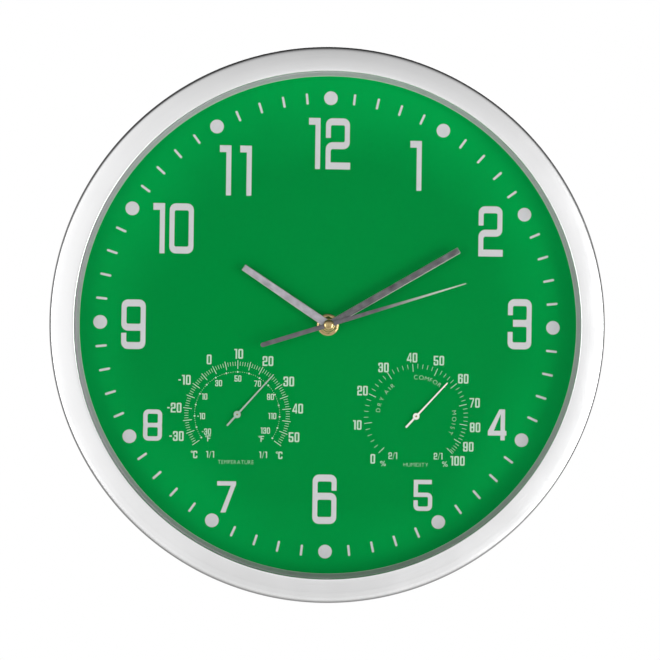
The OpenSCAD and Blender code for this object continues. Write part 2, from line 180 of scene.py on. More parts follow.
def spun_metal(name, color, rough, edge):
    """Metal brushed in circles about the dial's axis. edge is (from radius, to radius, shade):
    the base colour of the rolled front edge is darkened to that shade, a painted shade for the dark
    reflection in the roll."""
    m, nt, bsdf = nodes_of(name)
    tc = node(nt, "ShaderNodeTexCoord")
    off = node(nt, "ShaderNodeVectorMath", operation="ADD")
    off.inputs[1].default_value = (0, 0, HANG * MM)
    link(nt, tc.outputs["Object"], off.inputs[0])
    sep = node(nt, "ShaderNodeSeparateXYZ")
    link(nt, off.outputs["Vector"], sep.inputs[0])
    flat = node(nt, "ShaderNodeCombineXYZ")
    link(nt, sep.outputs["X"], flat.inputs["X"])
    link(nt, sep.outputs["Z"], flat.inputs["Z"])
    length = node(nt, "ShaderNodeVectorMath", operation="LENGTH")
    link(nt, flat.outputs["Vector"], length.inputs[0])
    radius = length.outputs["Value"]
    ring = node(nt, "ShaderNodeCombineXYZ")
    link(nt, radius, ring.inputs["X"])
    link(nt, maths(nt, "MULTIPLY", sep.outputs["Y"], 0.6), ring.inputs["Y"])
    lines = noise(nt, ring.outputs["Vector"], 2600.0, 2)
    cloud = noise(nt, tc.outputs["Object"], 45, 3)
    grain = noise(nt, tc.outputs["Object"], 2600, 2)
    mix = maths(nt, "ADD", maths(nt, "MULTIPLY", lines, 0.5), maths(nt, "ADD",
                maths(nt, "MULTIPLY", cloud, 0.25), maths(nt, "MULTIPLY", grain, 0.25)))
    col = ramp(nt, mix, [(0.35, tint(color, 0.965)), (0.65, tint(color, 1.03))])
    # painted shade: only the rolled front edge is darkened; the side wall behind it is bright again
    r0, r1, edge_painted_shade = edge
    ahead = remap(nt, sep.outputs["Y"], 0.0, 1.0, (4.8 - D_FRONT) * MM, (3.6 - D_FRONT) * MM)
    outer = remap(nt, radius, 0.0, 1.0, r0 * MM, r1 * MM)
    shade = remap(nt, maths(nt, "MULTIPLY", ahead, outer), 1.0, edge_painted_shade)
    painted_shade_grey = node(nt, "ShaderNodeCombineColor")
    for k in ("Red", "Green", "Blue"):
        link(nt, shade, painted_shade_grey.inputs[k])
    painted_shade_mix = node(nt, "ShaderNodeMix", data_type="RGBA", blend_type="MULTIPLY")
    value(painted_shade_mix, "Factor", 1.0)
    link(nt, col, painted_shade_mix.inputs[6])
    link(nt, painted_shade_grey.outputs["Color"], painted_shade_mix.inputs[7])
    link(nt, painted_shade_mix.outputs[2], bsdf.inputs["Base Color"])
    link(nt, remap(nt, mix, rough - 0.05, rough + 0.05, 0.35, 0.65), bsdf.inputs["Roughness"])
    value(bsdf, "Metallic", 1.0)
    value(bsdf, "Anisotropic", 0.6)
    tan = node(nt, "ShaderNodeTangent", direction_type="RADIAL", axis="Y")
    link(nt, tan.outputs["Tangent"], bsdf.inputs["Tangent"])
    bump(nt, bsdf, mix, 0.012, 0.0001)
    return m


def clear_glass(name):
    m, nt, bsdf = nodes_of(name)
    tc = node(nt, "ShaderNodeTexCoord")
    haze = noise(nt, tc.outputs["Object"], 14, 3)
    link(nt, remap(nt, haze, 0.015, 0.05, 0.3, 0.7), bsdf.inputs["Roughness"])
    link(nt, ramp(nt, haze, [(0.3, (0.02, 0.03, 0.025)), (0.7, (0.03, 0.04, 0.035))]),
         bsdf.inputs["Base Color"])
    value(bsdf, "Alpha", 0.015)
    value(bsdf, "IOR", 1.5)
    value(bsdf, "Specular IOR Level", 0.5)
    m.surface_render_method = "BLENDED"
    return m


def dial_paint(name):
    """Even matt green, with painted light: lighter towards the rim, to offset the shade the bezel casts
    there.
    """
    m, nt, bsdf = nodes_of(name)
    tc = node(nt, "ShaderNodeTexCoord")
    off = node(nt, "ShaderNodeVectorMath", operation="ADD")
    off.inputs[1].default_value = (0, D_DIAL * MM, HANG * MM)
    link(nt, tc.outputs["Object"], off.inputs[0])
    length = node(nt, "ShaderNodeVectorMath", operation="LENGTH")
    link(nt, off.outputs["Vector"], length.inputs[0])
    cloud = noise(nt, tc.outputs["Object"], 9, 3)
    fine = noise(nt, tc.outputs["Object"], 3500, 2)
    # painted light: the green grows lighter towards the rim, against the bezel's shade there
    r = maths(nt, "ADD", remap(nt, length.outputs["Value"], 0.0, 1.0, 0.04, 0.158),
              remap(nt, cloud, -0.12, 0.12, 0.3, 0.7))
    green_and_painted_rim_light = ramp(nt, r, [(0.0, (0.0, 0.262, 0.043)), (0.6, (0.0, 0.258, 0.043)),
                        (1.0, (0.0, 0.364, 0.066))])
    # the back of the sheet is left unpainted
    sep = node(nt, "ShaderNodeSeparateXYZ")
    link(nt, tc.outputs["Object"], sep.inputs[0])
    bare = node(nt, "ShaderNodeMix", data_type="RGBA")
    link(nt, remap(nt, sep.outputs["Y"], 0.0, 1.0, (0.3 - D_DIAL) * MM, (0.4 - D_DIAL) * MM), bare.inputs[0])
    link(nt, green_and_painted_rim_light, bare.inputs[6])
    bare.inputs[7].default_value = (0.55, 0.55, 0.53, 1)
    link(nt, bare.outputs[2], bsdf.inputs["Base Color"])
    link(nt, remap(nt, fine, 0.62, 0.72, 0.3, 0.7), bsdf.inputs["Roughness"])
    value(bsdf, "Specular IOR Level", 0.0)
    bump(nt, bsdf, fine, 0.03, 0.00005)
    return m


# edge paints a dark shade on the bezel's rolled front edge
M_BEZEL = spun_metal("satin_aluminium", (0.90, 0.90, 0.905), 0.22, edge=(172.7, 174.3, 0.29))
M_GLASS = clear_glass("clear_glass")
M_RING = finish("grey_ring", (0.52, 0.49, 0.53), 0.6, spec=0.2, vary=0.05, grain=700, bumps=0.05)
M_DIAL = dial_paint("dial_green")
M_PRINT = finish("pale_print", (0.64, 0.64, 0.655), 0.7, spec=0.05, vary=0.025, grain=2400, bumps=0.04)
M_PRINT2 = finish("fine_print", (0.52, 0.70, 0.56), 0.7, spec=0.05, vary=0.03, grain=2400, bumps=0.04)
M_WHITE = finish("pointer_white", (0.86, 0.90, 0.82), 0.5, spec=0.2, vary=0.03, grain=3000, bumps=0.05)
M_DULL = finish("pointer_dull", (0.37, 0.52, 0.43), 0.5, spec=0.2, vary=0.04, grain=3000, bumps=0.05)
M_CASE = finish("case_plastic", (0.035, 0.036, 0.039), 0.5, spec=0.4, vary=0.18, grain=1800, bumps=0.35)
M_MOVE = finish("movement_plastic", (0.018, 0.018, 0.019), 0.42, spec=0.45, vary=0.15, grain=2200, bumps=0.2)
M_COVER = finish("cover_plastic", (0.028, 0.028, 0.031), 0.38, spec=0.45, vary=0.15, grain=2200, bumps=0.15)
M_SCREW = finish("screw_steel", (0.62, 0.62, 0.60), 0.28, metal=1, vary=0.1, grain=3000, bumps=0.08)
M_PLATE = finish("hanger_steel", (0.50, 0.51, 0.52), 0.38, metal=1, vary=0.12, grain=1600, bumps=0.08,
                 stretch=(1, 1, 0.12))
M_NAT = finish("gear_plastic", (0.62, 0.61, 0.57), 0.42, spec=0.4, vary=0.03, grain=2500, bumps=0.05)
M_TRAIN = finish("plate_plastic", (0.58, 0.55, 0.48), 0.45, spec=0.4, vary=0.06, grain=2000, bumps=0.1)
M_RUBBER = finish("black_rubber", (0.02, 0.02, 0.02), 0.75, spec=0.3, vary=0.2, grain=2500, bumps=0.2)
M_BRASS = finish("brass", (0.52, 0.395, 0.19), 0.10, metal=1, vary=0.12, grain=2600, bumps=0.05, spread=0.05)
M_STEEL = finish("lamination_steel", (0.42, 0.43, 0.45), 0.35, metal=1, vary=0.12, grain=2000, bumps=0.06)
M_COPPER = finish("copper_wire", (0.78, 0.34, 0.14), 0.3, metal=1, vary=0.2, grain=5000, bumps=0.6,
                  stretch=(1, 0.05, 0.05))
M_BOARD = finish("board", (0.02, 0.13, 0.05), 0.35, spec=0.5, vary=0.15, grain=900, bumps=0.1)
M_RESIN = finish("chip_resin", (0.015, 0.015, 0.016), 0.12, spec=0.5, vary=0.1, grain=600, bumps=0.05,
                 coat=0.4)
M_NICKEL = finish("contact_metal", (0.70, 0.68, 0.62), 0.22, metal=1, vary=0.08, grain=2500, bumps=0.05)
M_MAGNET = finish("magnet", (0.10, 0.10, 0.105), 0.5, metal=0.6, vary=0.2, grain=2500, bumps=0.2)
M_SLEEVE = finish("cell_sleeve", (0.05, 0.09, 0.16), 0.25, spec=0.5, vary=0.08, grain=1200, bumps=0.04,
                  coat=0.3)
M_CUP = finish("cup_steel", (0.64, 0.64, 0.63), 0.3, metal=1, vary=0.1, grain=1500, bumps=0.06)
M_BIMETAL = finish("bimetal", (0.70, 0.50, 0.30), 0.3, metal=1, vary=0.15, grain=2500, bumps=0.1)


def brushed_hand(name, color, rough, contrast=0.3, tip=None):
    """Bare metal, brushed along the hand; streaks run lengthwise."""
    m, nt, bsdf = nodes_of(name)
    uv = node(nt, "ShaderNodeUVMap")
    mp = node(nt, "ShaderNodeMapping")
    mp.inputs["Scale"].default_value = (38.0, 1.1, 1.0)
    link(nt, uv.outputs["UV"], mp.inputs["Vector"])
    streak = noise(nt, mp.outputs["Vector"], 2.2, 5, 0.7)
    mp2 = node(nt, "ShaderNodeMapping")
    mp2.inputs["Scale"].default_value = (2.0, 14.0, 1.0)
    link(nt, uv.outputs["UV"], mp2.inputs["Vector"])
    patch = noise(nt, mp2.outputs["Vector"], 1.3, 2, 0.5)
    both = maths(nt, "ADD", maths(nt, "MULTIPLY", streak, 0.45), maths(nt, "MULTIPLY", patch, 0.55))
    col = ramp(nt, both, [(0.36, tint(color, 1 - contrast)), (0.5, color), (0.66, tint(color, 1 + contrast))])
    if tip is not None:
        pos = node(nt, "ShaderNodeSeparateXYZ")
        link(nt, uv.outputs["UV"], pos.inputs[0])
        mix = node(nt, "ShaderNodeMix", data_type="RGBA")
        link(nt, remap(nt, pos.outputs["Y"], 0.0, 1.0, 0.35, 0.75), mix.inputs[0])
        link(nt, col, mix.inputs[6])
        mix.inputs[7].default_value = (*tip, 1)
        col = mix.outputs[2]
    link(nt, col, bsdf.inputs["Base Color"])
    link(nt, remap(nt, streak, rough - 0.07, rough + 0.07, 0.3, 0.7), bsdf.inputs["Roughness"])
    value(bsdf, "Metallic", 1.0)
    bump(nt, bsdf, streak, 0.05, 0.00005)
    return m


M_HOUR = brushed_hand("hand_satin", (0.48, 0.465, 0.50), 0.36)
M_DARK = brushed_hand("hand_dark", (0.165, 0.16, 0.17), 0.34, 0.5)
M_SECOND = brushed_hand("hand_dark_tip", (0.17, 0.16, 0.175), 0.34, 0.3, (0.68, 0.72, 0.66))
M_EDGE = finish("hand_edge", (0.62, 0.66, 0.60), 0.3, metal=1, vary=0.05, grain=3000, bumps=0.03)

FINISHES = {
    "bezel": M_BEZEL, "glass": M_GLASS, "spacer_ring": M_RING, "dial": M_DIAL,
    "back_case": M_CASE, "case_screws": M_SCREW, "hanger_screws": M_SCREW,
    "movement_screws": M_SCREW, "hanger_plate": M_PLATE, "movement_case": M_MOVE,
    "movement_cover": M_COVER, "train_plate_rear": M_TRAIN,
    "train_plate_middle": M_TRAIN, "train_plate_front": M_TRAIN,
    "threaded_bush": M_BRASS, "brass_washer": M_BRASS, "dial_nut": M_BRASS,
    "second_cap": M_BRASS, "minute_arbor": M_BRASS, "rubber_washer": M_RUBBER,
    "stator": M_STEEL, "coil_core": M_STEEL, "coil_bobbin": M_NAT,
    "coil_winding": M_COPPER, "circuit_board": M_BOARD, "quartz_crystal": M_NICKEL,
    "clock_chip": M_RESIN, "contact_positive": M_NICKEL, "contact_negative": M_NICKEL,
    "rotor_magnet": M_MAGNET, "battery_cell": M_NICKEL, "battery_sleeve": M_SLEEVE,
    "thermometer_cup": M_CUP, "hygrometer_cup": M_CUP, "thermometer_coil": M_BIMETAL,
    "hygrometer_coil": M_BIMETAL, "thermometer_arbor": M_BRASS,
    "hygrometer_arbor": M_BRASS, "thermometer_pointer": M_DULL,
    "hygrometer_pointer": M_WHITE, "hour_hand": M_HOUR, "minute_hand": M_DARK,
    "second_hand": M_DARK,
}
for name, obj in NODES.items():
    obj.data.materials.clear()
    obj.data.materials.append(FINISHES.get(name, M_NAT))


# ------------------------------------------------------------------ mesh helpers

def mesh_object(name, verts, faces, mats, smooth=False, face_mats=None, uvs=None):
    me = bpy.data.meshes.new(name)
    me.from_pydata(verts, [], faces)
    for m in mats:
        me.materials.append(m)
    if face_mats:
        for p, i in zip(me.polygons, face_mats):
            p.material_index = i
    if uvs:
        layer = me.uv_layers.new(name="UVMap")
        for loop in me.loops:
            layer.data[loop.index].uv = uvs[loop.vertex_index]
    bm = bmesh.new()
    bm.from_mesh(me)
    bmesh.ops.remove_doubles(bm, verts=bm.verts, dist=1e-7)
    if all(e.is_manifold for e in bm.edges):
        bmesh.ops.recalc_face_normals(bm, faces=bm.faces)
    bm.to_mesh(me)
    bm.free()
    me.polygons.foreach_set("use_smooth", [smooth] * len(me.polygons))
    me.update()
    ob = bpy.data.objects.new(name, me)
    scene.collection.objects.link(ob)
    return ob


def lathe(name, profile, mat, centre=(0, 0), seg=360, closed=True):
    """Turns a profile of (radius, depth) about the dial's axis, or one beside it."""
    verts, faces = [], []
    n = len(profile)
    for i in range(seg):
        a = 2 * pi * i / seg
        for r, d in profile:
            verts.append(at(centre[0] + r * cos(a), centre[1] + r * sin(a), d))
    for i in range(seg):
        j = (i + 1) % seg
        for k in range(n if closed else n - 1):
            l = (k + 1) % n
            faces.append((i * n + k, i * n + l, j * n + l, j * n + k))
    ob = mesh_object(name, verts, faces, [mat], smooth=True)
    ob.data.set_sharp_from_angle(angle=radians(CREASE))
    return ob


def arc(cx, cy, r, a, b, n):
    return [(cx + r * cos(radians(a + (b - a) * i / n)), cy + r * sin(radians(a + (b - a) * i / n)))
            for i in range(n + 1)]


# ------------------------------------------------------------------ bezel and spacer

def bezel_profile():
    """Closed section of the bezel, as (radius, depth)."""
    top, back, fall = D_FRONT, depth_of("bezel", False), 1.2
    pts = [(R_RETURN, back), (R_BEZEL - 0.25, back), (R_BEZEL, back + 0.25)]
    pts += arc(R_BEZEL - BEZEL_ROLL, top - fall - BEZEL_ROLL, BEZEL_ROLL, 0, 82, 10)
    # the face: nearly flat, falling gently outwards
    face_out, face_in, steps = R_BEZEL - BEZEL_ROLL + 0.3, R_LIP + 0.9, 13
    for i in range(1, steps):
        t = i / steps
        pts.append((face_out + (face_in - face_out) * t, top - fall * (1 - t) ** 1.35))
    pts += arc(R_LIP + 0.8, top - 0.8, 0.8, 90, 180, 8)
    pts += [(R_LIP + 0.5, depth_of("glass") + 0.3), (R_LIP + 1.7, depth_of("glass") + 0.3),
            (R_LIP + 1.7, top - 1.3), (R_BEZEL - 2.0, top - 2.4), (R_BEZEL - BEZEL_WALL, top - 3.2),
            (R_BEZEL - BEZEL_WALL, back + BEZEL_WALL), (R_RETURN, back + BEZEL_WALL)]
    return pts


bezel = lathe("bezel_shell", bezel_profile(), M_BEZEL)
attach(bezel, "body")
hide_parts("bezel")

lo_d, hi_d = depth_of("spacer_ring", False), depth_of("spacer_ring")
LINER_X = 1.0         # the loose liner ring sits a little to the right in its case
spacer = lathe("spacer_wall", [
    (R_SIGHT, lo_d), (162.8, lo_d), (162.8, hi_d), (159.75, hi_d), (159.55, hi_d - 0.3),
    (159.2, hi_d - 3.5), (158.85, hi_d - 7.0), (R_SIGHT + 0.1, lo_d + 0.5)], M_RING, centre=(LINER_X, 0))
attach(spacer, "body")
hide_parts("spacer_ring")

# thin bright seam where the spacer stands on the dial
seam = lathe("dial_seam", [(158.3, D_DIAL + 0.02), (158.7, D_DIAL + 0.02),
                           (158.7, D_DIAL + 0.28), (158.5, D_DIAL + 0.28)],
             finish("seam_lip", (0.72, 0.80, 0.70), 0.45, spec=0.3, vary=0.03, grain=2000, bumps=0.03),
             centre=(LINER_X, 0))
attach(seam, "body")


# ------------------------------------------------------------------ dial print

def twice_area(p):
    """Twice the area of a flat outline, positive if it runs anticlockwise."""
    return sum(p[k - 1][0] * p[k][1] - p[k][0] * p[k - 1][1] for k in range(len(p)))


class Ink:
    """Collects flat shapes, drawn in mm on the dial as it is read."""

    def __init__(self):
        self.verts, self.faces = [], []
        self.move = (0.0, 0.0)
        self.turn = 0.0

    def put(self, pts):
        c, s = cos(self.turn), sin(self.turn)
        first = len(self.verts)
        for x, y in pts:
            self.verts.append((self.move[0] + c * x - s * y, self.move[1] + s * x + c * y))
        return first

    def poly(self, pts):
        i = self.put(pts)
        self.faces.append(tuple(range(i, i + len(pts))))

    def strip(self, left, right, closed=False):
        i, j, n = self.put(left), self.put(right), len(left)
        for k in range(n if closed else n - 1):
            l = (k + 1) % n
            self.faces.append((i + k, j + k, j + l, i + l))

    def disc(self, x, y, r, n=48):
        self.poly([(x + r * cos(2 * pi * i / n), y + r * sin(2 * pi * i / n)) for i in range(n)])

    def ring(self, x, y, r0, r1, n=20):
        self.strip(*[[(x + r * cos(2 * pi * i / n), y + r * sin(2 * pi * i / n)) for i in range(n)]
                     for r in (r0, r1)], closed=True)

    def bar(self, x, y, angle, length, width, blunt=0.0):
        """A dash centred at x, y, its length along angle, its ends a little rounded."""
        c, s = cos(angle), sin(angle)
        h, w = length / 2, width / 2
        e = []
        for sx, sy, a0 in ((1, 1, 0), (-1, 1, 90), (-1, -1, 180), (1, -1, 270)):
            q = blunt * w
            for k in range(5 if blunt else 1):
                a = radians(a0 + (90 * k / 4 if blunt else 45))
                px = sx * (h - q) + q * cos(a)
                py = sy * (w - q) + q * sin(a)
                e.append((x + c * px - s * py, y + s * px + c * py))
        self.poly(e)

    def merge(self, other):
        """Adds another drawing with its overlapping shapes run together."""
        faces = []
        for f in other.faces:
            f = [i for k, i in enumerate(f) if other.verts[i] != other.verts[f[k - 1]]]
            twice = twice_area([other.verts[i] for i in f])
            if abs(twice) > 1e-5:
                faces.append(f if twice > 0 else f[::-1])
        pts, _, tris, _, _, source = delaunay_2d_cdt([Vector(v) for v in other.verts], [], faces, 1, 1e-4)
        first = self.put([tuple(p) for p in pts])
        self.faces += [tuple(first + i for i in t) for t, src in zip(tris, source) if src]

    def build(self, name, mat):
        """A closed film of ink on the dial."""
        n = len(self.verts)
        verts = [at(x, y, D_DIAL + INK_LIFT) for x, y in self.verts]
        verts += [at(x, y, D_DIAL - 0.01) for x, y in self.verts]
        faces = []
        for f in self.faces:
            faces.append(tuple(f) if twice_area([self.verts[i] for i in f]) > 0 else tuple(f[::-1]))
        rim = {(f[k - 1], f[k]) for f in faces for k in range(len(f))}
        rim = [(a, b) for a, b in sorted(rim) if (b, a) not in rim]
        faces += [tuple(i + n for i in f[::-1]) for f in faces]
        faces += [(b, a, a + n, b + n) for a, b in rim]
        ob = mesh_object(name, verts, faces, [mat])
        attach(ob, "body")
        return ob


def unit(a, b):
    dx, dy = b[0] - a[0], b[1] - a[1]
    q = sqrt(dx * dx + dy * dy)
    return dx / q, dy / q


def stroke(ink, path, sv, sh, closed=False):
    """A line of upright and level runs; sv and sh are their widths.
    Each point is (x, y, outer radius, inner radius)."""
    pts = [(p[0], p[1], p[2] if len(p) > 2 else 0, p[3] if len(p) > 3 else 0) for p in path]
    n, seg = len(pts), 7
    sides = []
    for side in (1, -1):
        out = []
        for i, (x, y, ro, ri) in enumerate(pts):
            before = None if (i == 0 and not closed) else unit(pts[i - 1], pts[i])
            after = None if (i == n - 1 and not closed) else unit(pts[i], pts[(i + 1) % n])
            half = [(sh if abs(d[0]) > abs(d[1]) else sv) / 2 * side if d else 0
                    for d in (before, after)]
            if before is None or after is None:
                d, h = (after, half[1]) if before is None else (before, half[0])
                out.append((x - d[1] * h, y + d[0] * h))
                continue
            n0 = (-before[1] * half[0], before[0] * half[0])
            n1 = (-after[1] * half[1], after[0] * half[1])
            cross = before[0] * after[1] - before[1] * after[0]
            t = ((n1[0] - n0[0]) * after[1] - (n1[1] - n0[1]) * after[0]) / cross
            cx, cy = x + n0[0] + t * before[0], y + n0[1] + t * before[1]
            r = ro if cross * side < 0 else ri
            if r <= 0:
                out += [(cx, cy)] * (seg + 1)
                continue
            # the runs meet at right angles, so the fillet's tangent length is its radius
            ax, ay = cx - before[0] * r, cy - before[1] * r
            bx, by = cx + after[0] * r, cy + after[1] * r
            ox, oy = ax + after[0] * r, ay + after[1] * r
            for k in range(seg + 1):
                a = pi / 2 * k / seg
                out.append((ox + (ax - ox) * cos(a) + (bx - ox) * sin(a),
                            oy + (ay - oy) * cos(a) + (by - oy) * sin(a)))
        sides.append(out)
    ink.strip(sides[0], sides[1], closed)


def glyph(ink, ch, x0, y0, w, h, sv, sh):
    """Draws one sign with its lower left corner at x0, y0; returns its width."""
    k = w / 16
    ro, ri = 4.4 * k, 1.1 * k
    l, r, b, t = sv / 2, w - sv / 2, sh / 2, h - sh / 2

    def S(path, closed=False, flip=False):
        q = []
        for p in path:
            px, py = (w - p[0], h - p[1]) if flip else (p[0], p[1])
            q.append((x0 + px, y0 + py, *p[2:]))
        stroke(ink, q, sv, sh, closed)

    def P(pts):
        ink.poly([(x0 + px * w, y0 + py * h) for px, py in pts])

    if ch == "0":
        S([(l, t, ro, ri), (l, b, ro, ri), (r, b, ro, ri), (r, t, ro, ri)], True)
    elif ch == "1":
        w1 = sv + 4.4 * k
        ink.poly([(x0, y0 + h), (x0, y0 + h - sh * 0.98), (x0 + w1 - sv, y0 + h - sh * 0.98),
                  (x0 + w1 - sv, y0), (x0 + w1, y0), (x0 + w1, y0 + h)])
        return w1
    elif ch == "2":
        m = 0.465 * h
        S([(l, 0.615 * h), (l, t, ro, ri), (r, t, ro, ri), (r, m, ro, ri), (l, m, ro * 1.08, 1.5 * k),
           (l, b, 0, 0), (w * 1.03, b)])
    elif ch == "3":
        m = 0.518 * h
        S([(l, 0.678 * h), (l, t, ro, ri), (r, t, ro, ri), (r, m, 2.9 * k, ri), (0.22 * w, m)])
        S([(l, 0.345 * h), (l, b, ro, ri), (r, b, ro, ri), (r, m, 2.9 * k, ri), (0.22 * w, m)])
    elif ch == "4":
        P([(0.683, 0), (0.915, 0), (0.915, 1), (0.683, 1)])
        P([(0, 0.154), (1, 0.154), (1, 0.308), (0, 0.308)])
        P([(0, 0.2), (0.317, 0.2), (0.317, 0.308), (0.683, 0.85), (0.75, 1), (0.613, 1), (0, 0.29)])
    elif ch == "5":
        m = 0.518 * h
        S([(w * 0.97, t), (l, t), (l, m), (r, m, ro, ri), (r, b, ro, ri), (l, b, ro, ri), (l, 0.34 * h)])
    elif ch in "69":
        m, f = 0.44 * h, ch == "6"
        S([(l, t, ro, ri), (l, m, ro, ri), (r, m, 0, ri), (r, t, ro, ri)], True, f)
        S([(r, m), (r, b, ro, ri), (l, b, ro, ri), (l, 0.325 * h)], False, f)
    elif ch == "7":
        P([(0, 0.862), (1, 0.862), (1, 1), (0, 1)])
        P([(0.19, 0), (0.455, 0), (1, 0.9), (1, 1), (0.65, 1), (0.73, 0.862)])
    elif ch == "8":
        m = 0.5 * h
        q = 3.3 * k
        S([(l, t, ro, ri), (l, m, q, ri), (r, m, q, ri), (r, t, ro, ri)], True)
        S([(l, m, q, ri), (l, b, ro, ri), (r, b, ro, ri), (r, m, q, ri)], True)
    elif ch == "-":
        ink.poly([(x0, y0 + 0.42 * h), (x0 + 0.5 * w, y0 + 0.42 * h),
                  (x0 + 0.5 * w, y0 + 0.55 * h), (x0, y0 + 0.55 * h)])
        return 0.5 * w
    elif ch == "/":
        ink.poly([(x0, y0 - 0.05 * h), (x0 + 0.12 * w, y0 - 0.05 * h),
                  (x0 + 0.62 * w, y0 + 1.02 * h), (x0 + 0.5 * w, y0 + 1.02 * h)])
        return 0.62 * w
    elif ch == "C":
        S([(r, 0.66 * h), (r, t, ro, ri), (l, t, ro, ri), (l, b, ro, ri), (r, b, ro, ri), (r, 0.34 * h)])
    elif ch == "F":
        S([(l, 0), (l, t), (w, t)])
        S([(l, 0.52 * h), (0.85 * w, 0.52 * h)])
    elif ch == "o":
        ink.ring(x0 + 0.28 * w, y0 + 0.86 * h, 0.13 * w, 0.27 * w)
        return 0.5 * w
    elif ch == "%":
        ink.ring(x0 + 0.25 * w, y0 + 0.74 * h, 0.12 * w, 0.24 * w)
        ink.ring(x0 + 0.90 * w, y0 + 0.26 * h, 0.12 * w, 0.24 * w)
        ink.poly([(x0 + 0.2 * w, y0), (x0 + 0.33 * w, y0), (x0 + 0.95 * w, y0 + h), (x0 + 0.82 * w, y0 + h)])
        return 1.15 * w
    return w


def number(ink, text, cx, cy, w, h, sv, sh, gap, gaps=None):
    """Sets a short text centred at cx, cy."""
    probe = Ink()
    widths = [glyph(probe, c, 0, 0, w, h, sv, sh) for c in text]
    spaces = [(gaps or {}).get(text[i:i + 2], gap) for i in range(len(text) - 1)]
    x = cx - (sum(widths) + sum(spaces)) / 2
    for i, c in enumerate(text):
        sign = Ink()
        glyph(sign, c, x, cy - h / 2, w, h, sv, sh)
        ink.merge(sign)
        x += widths[i] + (spaces[i] if i < len(spaces) else 0)


# hour numerals: the eight large ones, then the four beside the instruments
big = Ink()
for text, x, y in (("12", -0.7, 115.3), ("1", 54.8, 102.2), ("2", 103.2, 61.1), ("3", 122.8, 2.0),
                   ("6", -0.8, -111.0), ("9", -123.3, -1.2), ("10", -98.9, 59.9), ("11", -60.0, 97.25)):
    h = {"12": 32.5, "2": 32.1, "3": 32.1, "6": 31.4, "9": 31.4}.get(text, 31.8)
    number(big, text, x, y, 15.25, h, 3.15, 4.4, 3.8, {"11": 5.6, "10": 3.0, "12": 3.5})
for text, x, y in (("4", 109.2, -62.5), ("5", 62.1, -108.0), ("7", -63.1, -110.0), ("8", -110.4, -64.9)):
    number(big, text, x, y, 11.9, 19.8, 2.7, 2.75, 2)
big.build("hour_numerals", M_PRINT)

marks = Ink()
for i in range(60):
    a = radians(90 - 6 * i)
    x, y = PRINT_R * cos(a), PRINT_R * sin(a)
    if i % 5 == 0:
        marks.disc(x, y, 4.35)
    else:
        marks.bar(x, y, a, 7.0, 1.45, 0.7)
marks.build("hour_dots_and_minute_dashes", M_PRINT)


def words(ink, text, size, narrow, place, track=0.22):
    """Letters of the built-in type face, each placed by place(distance along the line)."""
    total, glyphs = 0.0, []
    for ch in text:
        cu = bpy.data.curves.new("letter", "FONT")
        cu.body = ch
        cu.size = size / 0.73
        cu.offset = -0.028 * size
        ob = bpy.data.objects.new("letter", cu)
        scene.collection.objects.link(ob)
        bpy.context.view_layer.update()
        me = bpy.data.meshes.new_from_object(ob)
        pts = [(v.co.x * narrow, v.co.y) for v in me.vertices]
        fcs = [tuple(p.vertices) for p in me.polygons]
        bpy.data.objects.remove(ob)
        bpy.data.curves.remove(cu)
        bpy.data.meshes.remove(me)
        if not pts:
            total += size * 0.5
            continue
        lo, hi = min(p[0] for p in pts), max(p[0] for p in pts)
        glyphs.append(([(px - (lo + hi) / 2, py) for px, py in pts], fcs, total + (hi - lo) / 2))
        total += hi - lo + size * track
    total -= size * track
    for pts, fcs, s in glyphs:
        ink.move, ink.turn = place(s - total / 2)
        letter = Ink()
        letter.put(pts)
        letter.faces = fcs
        ink.merge(letter)
    ink.move, ink.turn = (0.0, 0.0), 0.0


def level(cx, cy, size):
    return lambda s: ((cx + s, cy - size / 2), 0.0)


def curved(cx, cy, r, mid):
    """Along an arc, tops outwards, centred mid degrees clockwise from the top."""
    def place(s):
        a = radians(90 - mid) - s / r
        return (cx + r * cos(a), cy + r * sin(a)), a - pi / 2
    return place


# thermometer scale: Celsius outside, Fahrenheit inside
TX, TY = -57.0, -57.6
PER_C = 250.0 / 90.0
t_ink = Ink()
for i in range(91):
    c = -35 + i
    a = radians(90 - (c - 10) * PER_C)
    if i % 5 == 0:
        r0, r1, w = 28.9, 34.4, 0.42
    else:
        r0, r1, w = 30.9, 33.5, 0.26
    r = (r0 + r1) / 2
    t_ink.bar(TX + r * cos(a), TY + r * sin(a), a, r1 - r0, w)
for i in range(81):
    f = -30 + i * 2
    a = radians(90 - (f - 50) / 1.8 * PER_C)
    size = 0.56 if i % 5 == 0 else 0.22
    t_ink.disc(TX + 27 * cos(a), TY + 27 * sin(a), size, 16)
for text, x, y in (("10", 0.5, 38.5), ("20", 19.1, 34.1), ("30", 32.5, 21.3), ("40", 38.4, 4.1),
                   ("50", 36.3, -14.1), ("0", -18.2, 34.7), ("-10", -33.6, 21.6),
                   ("-20", -39.8, 3.9), ("-30", -38.2, -14.1)):
    number(t_ink, text, TX + x, TY + y, 3.05, 6.2, 0.98, 0.9, 0.68)
for text, x, y in (("50", 0.2, 22.8), ("30", -12.0, 19.7), ("70", 12.7, 19.7), ("10", -20.8, 11.1),
                   ("90", 21.0, 11.4), ("-10", -22.8, -1.3), ("110", 22.3, -0.8),
                   ("-30", -19.3, -11.1), ("130", 18.0, -10.1)):
    number(t_ink, text, TX + x, TY + y, 1.95, 3.9, 0.6, 0.56, 0.42)
for s in (-1, 1):
    number(t_ink, "oC", TX + 27 * s, TY - 25.7, 2.6, 4.7, 0.8, 0.8, 0.25)
    number(t_ink, "1/1", TX + 16.8 * s, TY - 25.5, 2.4, 4.1, 0.62, 0.6, 0.5)
number(t_ink, "oF", TX - 18.3, TY - 15.4, 2.2, 3.8, 0.6, 0.6, 0.2)
number(t_ink, "oF", TX + 15.5, TY - 15.4, 2.2, 3.8, 0.6, 0.6, 0.2)
